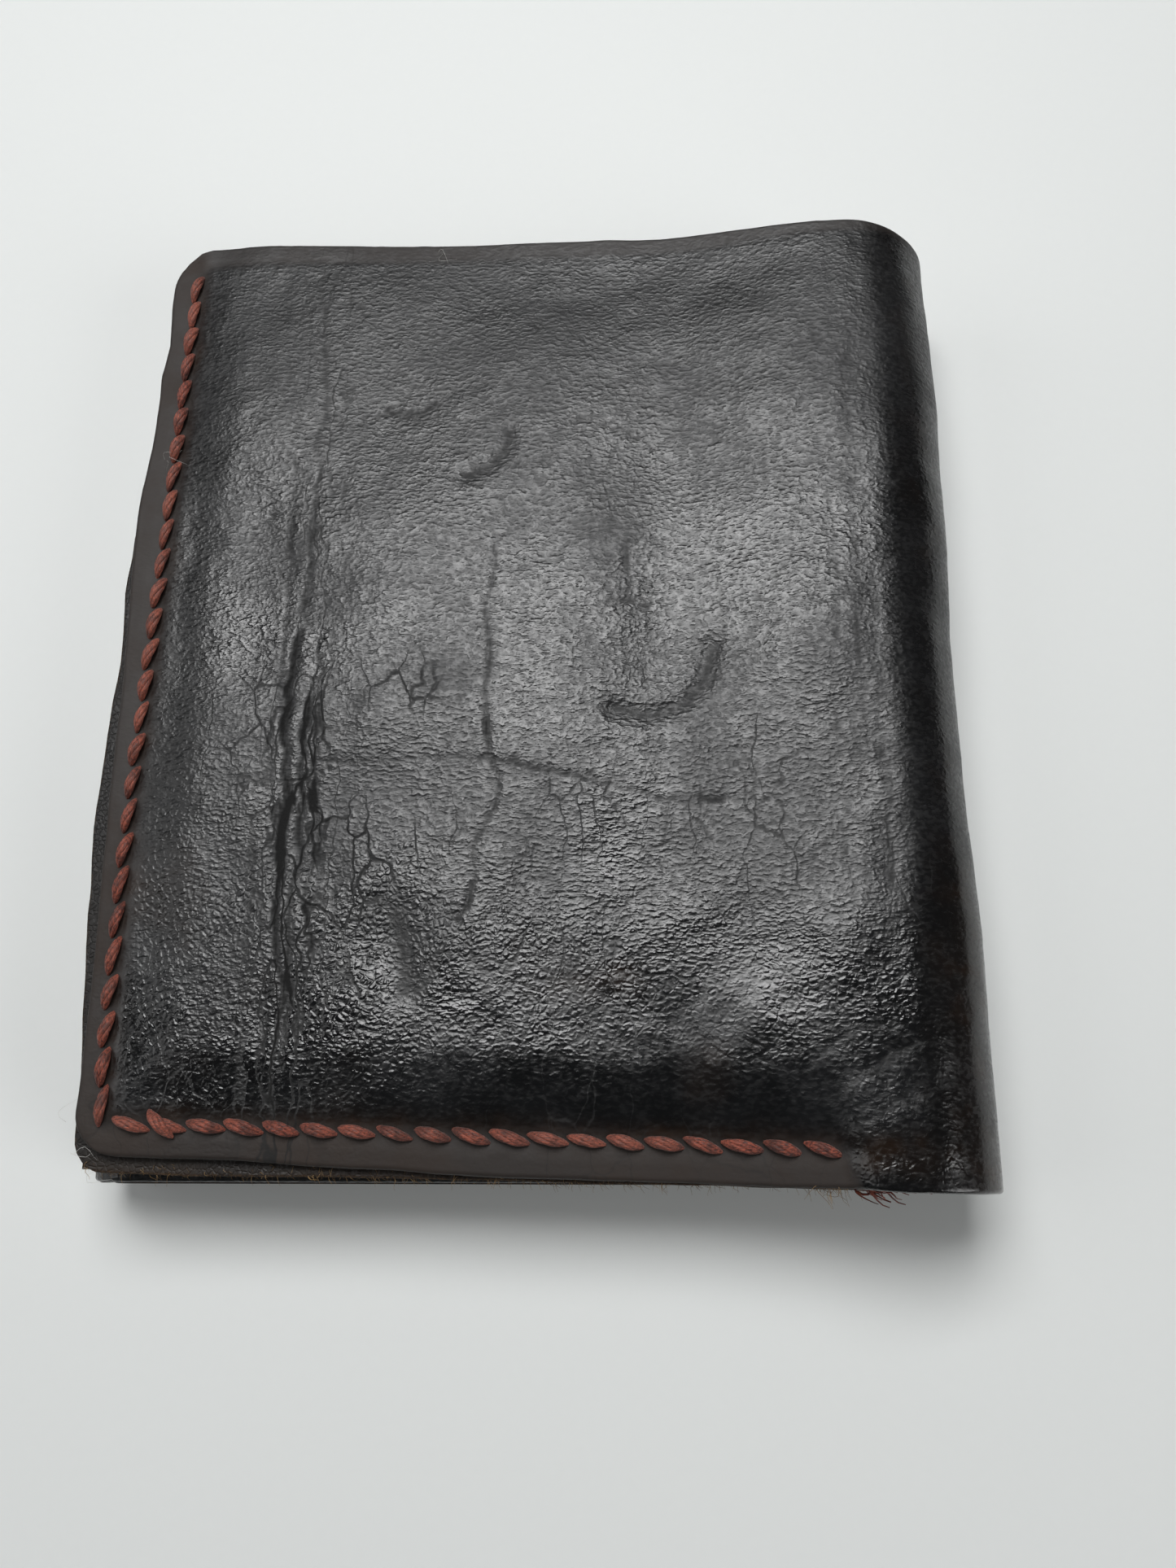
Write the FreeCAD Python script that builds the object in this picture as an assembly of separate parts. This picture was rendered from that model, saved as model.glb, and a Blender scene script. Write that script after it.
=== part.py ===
import FreeCAD, Part
import math
import os

# Hand-stitched leather trifold wallet, closed, lying on its back panel.  Millimetres.
# Origin: middle of the rest face.  +Z up, +Y towards the open (bill) edge, folds run along Y.
# The outer fold is at +X.  The inner fold is at -X, under the free edge of the front panel.
Vector = FreeCAD.Vector

# driving dimensions
wallet_width = 92.5
wallet_height = 112.0
stack_height = 15.0
cover_thickness = 1.6
wall_thickness = 0.8
pocket_thickness = 0.7
front_pocket_thickness = 0.9
wall_inset = 1.9             # outer face of the cover to outer face of the bill wall
inner_fold_height = 9.9      # outside height of the inner fold
fold_cut_gap = 0.15          # leather left out on each side of a fold line
edge_setback = 1.05          # front panel's free edge, short of the inner fold
inner_panel_edge = 22.5      # x of the inner panel's free edge
cover_bottom_setback = 1.0   # the front cover is cut shorter than the layers under it
lining_top_setback = 1.6     # bill wall, short of the cover at the open edge
stitch_pitch = 3.85
thread_width = 1.2
thread_proud = 0.5           # outside stitches stand this high above the cover
thread_groove = 0.35         # other stitches lie in a groove this deep
leg_length = 0.4
leg_width = 0.8
hole_size = 1.1

# outline, worked out
left = -wallet_width / 2
right = wallet_width / 2
bottom = -wallet_height / 2
top = wallet_height / 2
front_edge = left + edge_setback
outer_radius = stack_height / 2
inner_radius = inner_fold_height / 2

# folds: centre of the bend in X and Z, outside radius, and the side that it bulges to
outer_fold = {"x": right - outer_radius, "z": outer_radius, "r": outer_radius, "side": 1}
inner_fold = {"x": left + inner_radius, "z": inner_radius, "r": inner_radius, "side": -1}
quarter_turn = 45.0          # each fold bends at 45 and 135 degrees round its arc
half_turn = 180.0

# heights of the layers, lowest face first
back_cover_z = 0.0
back_wall_z = back_cover_z + wall_inset
inner_cover_z = inner_fold_height - cover_thickness
inner_wall_z = inner_fold_height - wall_inset - wall_thickness
front_cover_z = stack_height - cover_thickness
front_wall_z = stack_height - wall_inset - wall_thickness
layer_gap = 0.1
pocket_gap = 0.2             # wall to the pocket beside it

# pocket panels
pocket_setback = 1.5         # pockets, short of the bill wall at the bottom
pocket_bottom = bottom + pocket_setback
back_pocket_half = 36.0
back_pocket_tops = [38.0, 24.0, 10.0]
flap_pocket_tops = [36.0, 20.0]
inner_pocket_left = -36.0
front_pocket_right = 31.0
pocket_corner = 2.0
top_corner = 6.0
bottom_corner = 4.0
same_place = 1e-4            # how far apart two points may be and still be one corner

# stitch rows
side_inset = 2.7
bottom_inset = 3.4
side_count = 27
bottom_count = 19
corner_step = 0.9            # the bottom row starts in a hole of its own beside the corner
side_x = front_edge + side_inset
row_y = bottom + cover_bottom_setback + bottom_inset
pocket_row_inset = 2.5


def box(x0, x1, y0, y1, z0, z1):
    return Part.makeBox(x1 - x0, y1 - y0, z1 - z0, Vector(x0, y0, z0))


def arc_point(fold, radius, degrees):
    """Point on the fold, measured from straight below its centre, in the plane y = 0."""
    angle = math.radians(degrees)
    x = fold["x"] + fold["side"] * radius * math.sin(angle)
    return Vector(x, 0, fold["z"] - radius * math.cos(angle))


def bend(fold, inset, thickness, start, end, y0, y1):
    """A stretch of leather round a fold, between two angles of its arc."""
    outside = fold["r"] - inset
    inside = outside - thickness
    middle = (start + end) / 2
    outer_arc = Part.Arc(*[arc_point(fold, outside, a) for a in (start, middle, end)])
    inner_arc = Part.Arc(*[arc_point(fold, inside, a) for a in (end, middle, start)])
    end_cut = Part.makeLine(arc_point(fold, outside, end), arc_point(fold, inside, end))
    start_cut = Part.makeLine(arc_point(fold, inside, start), arc_point(fold, outside, start))
    outline = Part.Wire([outer_arc.toShape(), end_cut, inner_arc.toShape(), start_cut])
    solid = Part.Face(outline).extrude(Vector(0, y1 - y0, 0))
    solid.translate(Vector(0, y0, 0))
    return solid


def cut_angle(fold):
    return math.degrees(fold_cut_gap / fold["r"])


def lower_lip(fold, inset, thickness, y0, y1):
    end = quarter_turn - cut_angle(fold)
    return bend(fold, inset, thickness, 0, end, y0, y1)


def upper_lip(fold, inset, thickness, y0, y1):
    start = half_turn - quarter_turn + cut_angle(fold)
    return bend(fold, inset, thickness, start, half_turn, y0, y1)


def spine(fold, inset, thickness, y0, y1):
    start = quarter_turn + cut_angle(fold)
    end = half_turn - quarter_turn - cut_angle(fold)
    return bend(fold, inset, thickness, start, end, y0, y1)


def join(*shapes):
    return shapes[0].multiFuse(list(shapes[1:])).removeSplitter()


def rounded(solid, corners):
    """Rounds the upright edges that stand at the given (x, y, radius) corners."""
    for x, y, radius in corners:
        here = [edge for edge in solid.Edges if stands_at(edge, x, y)]
        solid = solid.makeFillet(radius, here)
    return solid


def stands_at(edge, x, y):
    return all(math.hypot(v.X - x, v.Y - y) < same_place for v in edge.Vertexes)


def panel_layers(inset, thickness, y0, y1, front_y0):
    """The five stretches of one sheet that runs round both folds."""
    back_z = back_cover_z + inset
    inner_z = inner_fold_height - inset - thickness
    front_z = stack_height - inset - thickness
    outer_x = outer_fold["x"]
    inner_x = inner_fold["x"]
    back = join(box(inner_x, outer_x, y0, y1, back_z, back_z + thickness),
                lower_lip(outer_fold, inset, thickness, y0, y1),
                lower_lip(inner_fold, inset, thickness, y0, y1))
    front_flat = box(front_edge, outer_x, front_y0, y1, front_z, front_z + thickness)
    front_flat = rounded(front_flat, [(front_edge, y1, top_corner),
                                      (front_edge, front_y0, bottom_corner)])
    front = join(front_flat, upper_lip(outer_fold, inset, thickness, front_y0, y1))
    inner_flat = box(inner_x, inner_panel_edge, y0, y1, inner_z, inner_z + thickness)
    inner_flat = rounded(inner_flat, [(inner_panel_edge, y1, top_corner),
                                      (inner_panel_edge, y0, bottom_corner)])
    inner = join(inner_flat, upper_lip(inner_fold, inset, thickness, y0, y1))
    return {
        "back": back,
        "outer_spine": spine(outer_fold, inset, thickness, y0, y1),
        "front": front,
        "inner_spine": spine(inner_fold, inset, thickness, y0, y1),
        "inner": inner,
    }


def pocket(x0, x1, y1, z0, thickness):
    """A card pocket panel, with its two top corners rounded."""
    panel = box(x0, x1, pocket_bottom, y1, z0, z0 + thickness)
    return rounded(panel, [(x0, y1, pocket_corner), (x1, y1, pocket_corner)])


def stitch(start, along, low, high):
    """One saddle stitch: a loop of thread through two neighbouring holes.
    The loop's upper bar starts at height high and its lower bar at height low."""
    length = stitch_pitch - layer_gap
    upper = box(0, length, -thread_width / 2, thread_width / 2, high, high + thread_height(high))
    lower = box(0, length, -leg_width / 2, leg_width / 2, low, low + thread_groove)
    legs = [box(x, x + leg_length, -leg_width / 2, leg_width / 2, low, high)
            for x in (0, length - leg_length)]
    loop = join(upper, lower, *legs)
    return placed(loop, start, along)


def thread_height(high):
    return thread_proud if high >= stack_height else thread_groove


def placed(shape, start, along):
    angle = math.degrees(math.atan2(along[1], along[0]))
    shape.rotate(Vector(0, 0, 0), Vector(0, 0, 1), angle)
    shape.translate(Vector(start[0], start[1], 0))
    return shape


def stitch_row(first, along, count, low, high):
    """Loops for a straight row, and the holes and grooves that they need.
    low is a height, or a function of the loop's middle that gives it."""
    loops = []
    cuts = []
    for i in range(count):
        start = [first[k] + along[k] * stitch_pitch * i for k in (0, 1)]
        middle = [start[k] + along[k] * stitch_pitch / 2 for k in (0, 1)]
        floor = low(middle) if callable(low) else low
        loops.append(stitch(start, along, floor, high))
        groove = box(-leg_length, stitch_pitch, -hole_size / 2, hole_size / 2,
                     floor - layer_gap, floor + thread_groove)
        cuts.append(placed(groove, start, along))
        if high < stack_height:
            channel = box(-leg_length, stitch_pitch, -thread_width / 2, thread_width / 2,
                          high, high + thread_groove + layer_gap)
            cuts.append(placed(channel, start, along))
        for x in (0, stitch_pitch):
            hole = box(x - hole_size / 2, x + hole_size / 2, -hole_size / 2, hole_size / 2,
                       floor, high + layer_gap)
            cuts.append(placed(hole, start, along))
    return loops, cuts


def front_floor(middle):
    """Lowest face of the front panel's layers at this place."""
    if middle[1] < flap_pocket_tops[1] - stitch_pitch:
        return front_wall_z - pocket_gap - 2 * front_pocket_thickness - layer_gap
    if middle[1] < flap_pocket_tops[0] - stitch_pitch:
        return front_wall_z - pocket_gap - front_pocket_thickness
    return front_wall_z


def inner_floor(middle):
    """Lowest face of the inner panel's layers at this place."""
    if middle[1] < flap_pocket_tops[1] - stitch_pitch:
        return inner_wall_z - pocket_gap - 2 * pocket_thickness - layer_gap
    if middle[1] < flap_pocket_tops[0] - stitch_pitch:
        return inner_wall_z - pocket_gap - pocket_thickness
    return inner_wall_z


def whole_stitches(length):
    return int(length / stitch_pitch)


up = (0, 1)
across = (1, 0)

# the two sheets that run round both folds
front_bottom = bottom + cover_bottom_setback
cover = panel_layers(0.0, cover_thickness, bottom, top, front_bottom)
lining_top = top - lining_top_setback
bill_wall = panel_layers(wall_inset, wall_thickness, bottom, lining_top, bottom)

# card pockets: three on the back panel, two on each of the other panels
parts = {
    "cover_back_panel": cover["back"],
    "cover_outer_spine": cover["outer_spine"],
    "cover_front_panel": cover["front"],
    "cover_inner_spine": cover["inner_spine"],
    "cover_inner_panel": cover["inner"],
    "bill_wall_back": bill_wall["back"],
    "bill_wall_outer_spine": bill_wall["outer_spine"],
    "bill_wall_front": bill_wall["front"],
    "bill_wall_inner_spine": bill_wall["inner_spine"],
    "bill_wall_inner": bill_wall["inner"],
}
pocket_z = back_wall_z + wall_thickness + pocket_gap
for number, pocket_top in enumerate(back_pocket_tops, 1):
    name = "back_pocket_%d" % number
    parts[name] = pocket(-back_pocket_half, back_pocket_half, pocket_top, pocket_z,
                         pocket_thickness)
    pocket_z += pocket_thickness + layer_gap
back_stack_top = pocket_z - layer_gap
inner_pocket_z = inner_wall_z - pocket_gap - pocket_thickness
front_pocket_z = front_wall_z - pocket_gap - front_pocket_thickness
for number, pocket_top in enumerate(flap_pocket_tops, 1):
    parts["inner_pocket_%d" % number] = pocket(inner_pocket_left, inner_panel_edge, pocket_top,
                                               inner_pocket_z, pocket_thickness)
    parts["front_pocket_%d" % number] = pocket(front_edge, front_pocket_right, pocket_top,
                                               front_pocket_z, front_pocket_thickness)
    inner_pocket_z -= pocket_thickness + layer_gap
    front_pocket_z -= front_pocket_thickness + layer_gap

# stitch rows: name, first hole, direction, number, lowest face, upper face, layers passed
inner_row_x = inner_panel_edge - side_inset
inner_high = inner_fold_height - thread_groove
low_pocket = flap_pocket_tops[1]
pocket_row_y = row_y + stitch_pitch
back_row_count = whole_stitches(2 * (back_pocket_half - pocket_row_inset))
inner_bottom_count = whole_stitches(inner_row_x - inner_pocket_left - pocket_row_inset)
pocket_side_count = whole_stitches(low_pocket - pocket_row_inset - pocket_row_y)
inner_row_start = (inner_row_x - inner_bottom_count * stitch_pitch - corner_step, row_y)
front_layers = ["cover_front_panel", "bill_wall_front", "front_pocket_1", "front_pocket_2"]
inner_layers = ["cover_inner_panel", "bill_wall_inner", "inner_pocket_1", "inner_pocket_2"]
back_layers = ["cover_back_panel", "bill_wall_back",
               "back_pocket_1", "back_pocket_2", "back_pocket_3"]
back_bottom_start = (-back_row_count * stitch_pitch / 2, row_y)
side_row_x = back_pocket_half - pocket_row_inset
rows = [
    ("front_side_stitches", (side_x, row_y), up, side_count,
     front_floor, stack_height, front_layers),
    ("front_bottom_stitches", (side_x + corner_step, row_y), across, bottom_count,
     front_floor, stack_height, front_layers),
    ("inner_side_stitches", (inner_row_x, row_y), up, side_count,
     inner_floor, inner_high, inner_layers),
    ("inner_bottom_stitches", inner_row_start, across, inner_bottom_count,
     inner_floor, inner_high, inner_layers),
    ("back_bottom_stitches", back_bottom_start, across, back_row_count,
     back_cover_z + layer_gap, back_stack_top - thread_groove, back_layers),
    ("back_pocket_left_stitches", (-side_row_x, pocket_row_y), up, pocket_side_count,
     back_wall_z, back_stack_top - thread_groove, back_layers[1:]),
    ("back_pocket_right_stitches", (side_row_x, pocket_row_y), up, pocket_side_count,
     back_wall_z, back_stack_top - thread_groove, back_layers[1:]),
    ("front_pocket_stitches", (front_pocket_right - pocket_row_inset, pocket_row_y), up,
     pocket_side_count, front_floor, front_wall_z + wall_thickness - thread_groove,
     front_layers[1:]),
    ("inner_pocket_stitches", (inner_pocket_left + pocket_row_inset, pocket_row_y), up,
     pocket_side_count, inner_floor, inner_wall_z + wall_thickness - thread_groove,
     inner_layers[1:]),
]
for name, first, along, count, low, high, layers in rows:
    loops, cuts = stitch_row(first, along, count, low, high)
    for layer in layers:
        parts[layer] = parts[layer].cut(cuts)
    parts[name] = Part.makeCompound(loops)

# the frayed end of the thread, which hangs out beside the outer fold
thread_end_radius = 0.5
thread_end_beside = 1.0      # past the front pockets
thread_end_above = 4.0       # from the bottom edge to where it leaves the leather
thread_end_drop = 0.8        # under the front bill wall
thread_end_start = Vector(front_pocket_right + thread_end_beside, bottom + thread_end_above,
                          front_wall_z - thread_end_drop)
thread_end_run = Vector(5.5, -3.3, 0)
parts["frayed_thread_end"] = Part.makeCylinder(thread_end_radius, thread_end_run.Length,
                                               thread_end_start, thread_end_run)

os.makedirs("parts", exist_ok=True)
for name, shape in parts.items():
    shape.exportStep("parts/%s.step" % name)
    print("%-28s %2d solid(s) %9.1f mm3" % (name, len(shape.Solids), shape.Volume))
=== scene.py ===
import bmesh
import bpy
import math
import numpy as np
from mathutils import Euler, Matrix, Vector


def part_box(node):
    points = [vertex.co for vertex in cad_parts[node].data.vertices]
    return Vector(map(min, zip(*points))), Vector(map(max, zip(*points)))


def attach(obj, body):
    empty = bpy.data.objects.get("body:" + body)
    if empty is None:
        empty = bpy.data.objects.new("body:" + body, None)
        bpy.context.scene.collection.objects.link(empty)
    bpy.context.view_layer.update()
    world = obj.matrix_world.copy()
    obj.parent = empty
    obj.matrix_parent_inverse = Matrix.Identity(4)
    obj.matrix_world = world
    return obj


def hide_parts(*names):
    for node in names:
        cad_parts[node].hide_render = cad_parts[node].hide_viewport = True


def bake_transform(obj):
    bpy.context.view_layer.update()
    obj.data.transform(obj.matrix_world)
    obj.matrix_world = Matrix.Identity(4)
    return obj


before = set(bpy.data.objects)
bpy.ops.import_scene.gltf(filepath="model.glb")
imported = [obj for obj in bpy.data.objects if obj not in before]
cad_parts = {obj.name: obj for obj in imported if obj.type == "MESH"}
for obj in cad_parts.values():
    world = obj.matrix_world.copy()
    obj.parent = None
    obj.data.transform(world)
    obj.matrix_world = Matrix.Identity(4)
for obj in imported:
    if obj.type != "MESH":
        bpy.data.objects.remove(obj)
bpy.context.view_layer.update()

mm = 0.001   # all sizes below are in millimetres


# where things are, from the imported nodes
def corners(node):
    low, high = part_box(node)
    return [c / mm for c in low], [c / mm for c in high]


spineHigh = corners("cover_outer_spine")[1]
innerSpineLow = corners("cover_inner_spine")[0]
frontLow, frontHigh = corners("cover_front_panel")
backLow, backHigh = corners("cover_back_panel")
innerHigh = corners("cover_inner_panel")[1]
wallHigh = corners("bill_wall_front")[1]
wallBackLow = corners("bill_wall_back")[0]

wallet = {
    "top": backHigh[1],
    "bottom": backLow[1],
    "stack": frontHigh[2],
    "freeEdge": frontLow[0],
    "innerEdge": innerHigh[0],
    "cover": 1.6,
    "wall": 0.8,
    "wallInset": wallBackLow[2],
    "wallTop": wallHigh[1],
}
outerFold = {
    "x": spineHigh[0] - frontHigh[2] / 2,
    "z": frontHigh[2] / 2,
    "r": frontHigh[2] / 2,
    "side": 1,
}
innerFold = {
    "x": innerSpineLow[0] + innerHigh[2] / 2,
    "z": innerHigh[2] / 2,
    "r": innerHigh[2] / 2,
    "side": -1,
}


# numpy helpers
def smooth(t):
    t = np.clip(t, 0, 1)
    return t * t * (3 - 2 * t)


# 0 up to the start, 1 from the end on, in either direction
def ease(t, start, end):
    return smooth((t - start) / (end - start))


def bell(d, width):
    return np.exp(-(d / width) ** 2)


def valueNoise(x, y, scale, seed):
    lattice = np.random.default_rng(seed).random((64, 64))
    gx, gy = x / scale, y / scale
    ix, iy = np.floor(gx).astype(int), np.floor(gy).astype(int)
    fx, fy = smooth(gx - ix), smooth(gy - iy)

    def pick(a, b):
        return lattice[(ix + a) % 64, (iy + b) % 64]

    low = pick(0, 0) * (1 - fx) + pick(1, 0) * fx
    high = pick(0, 1) * (1 - fx) + pick(1, 1) * fx
    return (low * (1 - fy) + high * fy) * 2 - 1


def layeredNoise(x, y, scale, seed, layers=3):
    total = 0
    for i in range(layers):
        total = total + valueNoise(x, y, scale / 2 ** i, seed + i) / 2 ** i
    return total / 1.6


def distanceToLine(x, y, points):
    nearest = np.full(np.shape(x), 1e9)
    for (x0, y0), (x1, y1) in zip(points, points[1:]):
        dx, dy = x1 - x0, y1 - y0
        t = np.clip(((x - x0) * dx + (y - y0) * dy) / (dx * dx + dy * dy), 0, 1)
        nearest = np.minimum(nearest, np.hypot(x - x0 - t * dx, y - y0 - t * dy))
    return nearest


# camera and world
shot = {
    "place": (11.3, -51.9, 135.8),
    "turn": (16.97, 2.3, 0.08),
    "lens": 27.03,
    "sensor": 36.0,
    "sky": 0.035,
}

# each light: place, size and power
studio = {
    "softbox": ((-50.0, 205.0, 480.0), (340.0, 240.0), 2.3),
    "leftFill": ((-900.0, 0.0, 560.0), (700.0, 700.0), 1.9),
    "backFill": ((0.0, 760.0, 420.0), (900.0, 420.0), 0.15),
    "frontFill": ((680.0, -380.0, 420.0), (500.0, 500.0), 2.2),
}


def makeCamera():
    data = bpy.data.cameras.new("camera")
    data.sensor_fit = "VERTICAL"
    data.sensor_height = shot["sensor"]
    data.lens = shot["lens"]
    data.clip_start = 0.01
    camera = bpy.data.objects.new("camera", data)
    camera.location = Vector(shot["place"]) * mm
    camera.rotation_euler = Euler([math.radians(a) for a in shot["turn"]], "XYZ")
    bpy.context.collection.objects.link(camera)
    bpy.context.scene.camera = camera


def makeLights():
    for name, (place, size, power) in studio.items():
        data = bpy.data.lights.new(name, "AREA")
        data.shape = "RECTANGLE"
        data.size, data.size_y = [s * mm for s in size]
        data.energy = power
        light = bpy.data.objects.new(name, data)
        light.location = Vector(place) * mm
        aim = Vector((0, 0, wallet["stack"])) * mm - light.location
        light.rotation_euler = aim.to_track_quat("-Z", "Y").to_euler()
        bpy.context.collection.objects.link(light)
    world = bpy.data.worlds.new("studio")
    world.use_nodes = True
    background = world.node_tree.nodes["Background"]
    background.inputs["Color"].default_value = (0.93, 0.98, 0.97, 1)
    background.inputs["Strength"].default_value = shot["sky"]
    bpy.context.scene.world = world
    bpy.context.scene.view_settings.view_transform = "Standard"


makeCamera()
makeLights()
print("camera and light")


# node trees: a wire is a socket whose arithmetic adds Math nodes
def arithmetic(operation, swapped=False):
    def method(self, other):
        pair = (other, self) if swapped else (self, other)
        return self.mathNode(operation, *pair)
    return method


class Wire:
    __add__, __radd__ = arithmetic("ADD"), arithmetic("ADD", True)
    __sub__, __rsub__ = arithmetic("SUBTRACT"), arithmetic("SUBTRACT", True)
    __mul__ = arithmetic("MULTIPLY")
    __truediv__ = arithmetic("DIVIDE")
    __pow__ = arithmetic("POWER")

    def __init__(self, graph, socket):
        self.graph = graph
        self.socket = socket

    def mathNode(self, operation, *values):
        inputs = dict(enumerate(values))
        return self.graph.node("ShaderNodeMath", {"operation": operation}, inputs)

    def absolute(self):
        return self.mathNode("ABSOLUTE", self)

    def sine(self):
        return self.mathNode("SINE", self)

    def cosine(self):
        return self.mathNode("COSINE", self)

    def clamp(self):
        return self.graph.node("ShaderNodeClamp", {}, {"Value": self})

    def ramp(self, low, high):
        values = {"Value": self, "From Min": low, "From Max": high}
        return self.graph.node("ShaderNodeMapRange", {"interpolation_type": "SMOOTHSTEP"}, values)


class Graph:
    def __init__(self, tree):
        self.tree = tree

    def node(self, kind, settings=None, inputs=None, out=0):
        made = self.tree.nodes.new(kind)
        for name, value in (settings or {}).items():
            setattr(made, name, value)
        for name, value in (inputs or {}).items():
            for each in value if isinstance(value, list) else [value]:
                self.feed(made.inputs[name], each)
        if not made.outputs:
            return made
        return Wire(self, made.outputs[out])

    def feed(self, socket, value):
        if isinstance(value, Wire):
            self.tree.links.new(value.socket, socket)
        else:
            socket.default_value = value


def mixColour(graph, factor, a, b):
    names = {0: factor, 6: a if isinstance(a, Wire) else (*a, 1),
             7: b if isinstance(b, Wire) else (*b, 1)}
    return graph.node("ShaderNodeMix", {"data_type": "RGBA"}, names, out=2)


def stretched(graph, coords, stretch):
    return graph.node("ShaderNodeVectorMath", {"operation": "MULTIPLY"}, {0: coords, 1: stretch})


def noise(graph, coords, scale, detail=2.0, roughness=0.5):
    values = {"Vector": coords, "Scale": scale, "Detail": detail, "Roughness": roughness}
    return graph.node("ShaderNodeTexNoise", {}, values)


def cells(graph, coords, scale, feature="DISTANCE_TO_EDGE"):
    inputs = {"Vector": coords, "Scale": scale}
    return graph.node("ShaderNodeTexVoronoi", {"feature": feature}, inputs)


# the base coordinates, moved about by up to half the reach (in mm) in soft waves
def wavering(graph, base, coords, scale, reach):
    values = {"Vector": coords, "Scale": scale, "Detail": 2.0}
    waves = graph.node("ShaderNodeTexNoise", {}, values, out=1)
    inputs = {0: waves, 1: (reach * mm, reach * mm, reach * mm), 2: base}
    return graph.node("ShaderNodeVectorMath", {"operation": "MULTIPLY_ADD"}, inputs)


def newMaterial(name):
    material = bpy.data.materials.new(name)
    material.use_nodes = True
    material.node_tree.nodes.clear()
    graph = Graph(material.node_tree)
    return material, graph, graph.node("ShaderNodeTexCoord", out=3)


def finishMaterial(graph, shaderInputs, height=None, bumpDepth=0.1, bumpStrength=1.0):
    if height is not None:
        values = {"Height": height, "Strength": bumpStrength, "Distance": bumpDepth * mm}
        shaderInputs["Normal"] = graph.node("ShaderNodeBump", {}, values)
    shader = graph.node("ShaderNodeBsdfPrincipled", {}, shaderInputs)
    graph.node("ShaderNodeOutputMaterial", {}, {"Surface": shader})


def attribute(graph, name):
    settings = {"attribute_name": name, "attribute_type": "GEOMETRY"}
    return graph.node("ShaderNodeAttribute", settings, out=2)


# outside of the cover: black, worn, with a pebbled and striated grain
def makeCoverLeather():
    # the last three are how far apart the marks are, in millimetres
    look = {
        "black": (0.0028, 0.0029, 0.0032),
        "grey": (0.0085, 0.0088, 0.0098),
        "brown": (0.020, 0.0095, 0.0042),
        "margin": (0.0210, 0.0105, 0.0052),
        # painted shade: the near black that fills cracks, creases and dents
        "crack": (0.0012, 0.0011, 0.0011),
        "pebble": 0.72,
        "striation": 0.47,
        "wrinkle": 4.2,
    }
    material, g, coords = newMaterial("coverLeather")
    drift = noise(g, coords, 150, 3.0)
    warped = wavering(g, coords, coords, 420, 0.7)
    wander = wavering(g, warped, coords, 260, 2.2)
    pebble = cells(g, warped, 1000 / look["pebble"])
    finePebble = cells(g, warped, 1000 / look["striation"], "F1")
    lines = noise(g, stretched(g, warped, (0.62, 1.15, 1)), 1000 / look["striation"], 1.0, 0.5)
    pores = noise(g, coords, 3200, 1.0, 0.5)
    pebbled = ((drift - 0.5) * 2.2 + attribute(g, "pebbled")).clamp()
    ridge = pebble.ramp(0.0, 0.34)
    grain = lines * 0.9 + (finePebble * -0.5 + 0.5) * 0.35 + pores * 0.22
    height = grain * (1 - pebbled * 0.3) + ridge * pebbled * 0.4
    wrinkle = cells(g, stretched(g, wander, (1, 0.45, 1)), 1000 / look["wrinkle"])
    folds = (1 - wrinkle.ramp(0.0, 0.03)) * noise(g, coords, 70, 2.0).ramp(0.45, 0.65)
    split = noise(g, stretched(g, wander, (1, 0.12, 1)), 480, 1.5)
    splits = (1 - (split - 0.5).absolute().ramp(0.0, 0.042)) * attribute(g, "cracked")
    folds = folds * attribute(g, "fine") + splits * 1.6
    height = (height - folds * 0.4) * (1 - attribute(g, "calm"))
    patches = noise(g, coords, 95, 4.0, 0.6).ramp(0.36, 0.68)
    tint = noise(g, coords, 260, 3.0).ramp(0.45, 0.75)
    colour = mixColour(g, patches * 0.7 + lines * 0.3, look["black"], look["grey"])
    colour = mixColour(g, attribute(g, "worn") * (tint * 0.7 + 0.3), colour, look["brown"])
    colour = mixColour(g, attribute(g, "margin") * (patches * 0.4 + 0.6), colour, look["margin"])
    # painted shade: cracks, dents, stitch-hole dimples and fine wrinkles are darkened towards near black
    colour = mixColour(g, (attribute(g, "crease") + folds * 0.6).clamp(), colour, look["crack"])
    rough = 0.27 + patches * 0.10 + (1 - lines.ramp(0.3, 0.7)) * 0.16 + folds * 0.4
    rough = rough + attribute(g, "crease") * 0.6 - attribute(g, "polish") * 0.15
    margin = attribute(g, "margin")
    rough = rough * (1 - margin) + margin * (patches * 0.1 + 0.72)
    finishMaterial(g, {"Base Color": colour, "Roughness": rough.clamp(),
                       "Specular IOR Level": 0.66}, height, 0.13, 1.0)
    return material


# raw flesh side and cut edges: matt, fibrous, brown
def makeRawLeather():
    dark, light, speck = (0.004, 0.003, 0.002), (0.027, 0.015, 0.007), (0.22, 0.13, 0.055)
    material, g, coords = newMaterial("rawLeather")
    strands = noise(g, stretched(g, coords, (0.35, 1.4, 1.4)), 1500, 4.0, 0.65)
    blotch = noise(g, coords, 180, 3.0).ramp(0.3, 0.75)
    specks = noise(g, coords, 3100, 2.0).ramp(0.62, 0.8)
    colour = mixColour(g, blotch * 0.7 + strands * 0.3, dark, light)
    colour = mixColour(g, specks * attribute(g, "raw"), colour, speck)
    finishMaterial(g, {"Base Color": colour, "Roughness": 0.62 + strands * 0.3},
                   strands + specks * 0.4, 0.12, 0.8)
    return material


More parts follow.
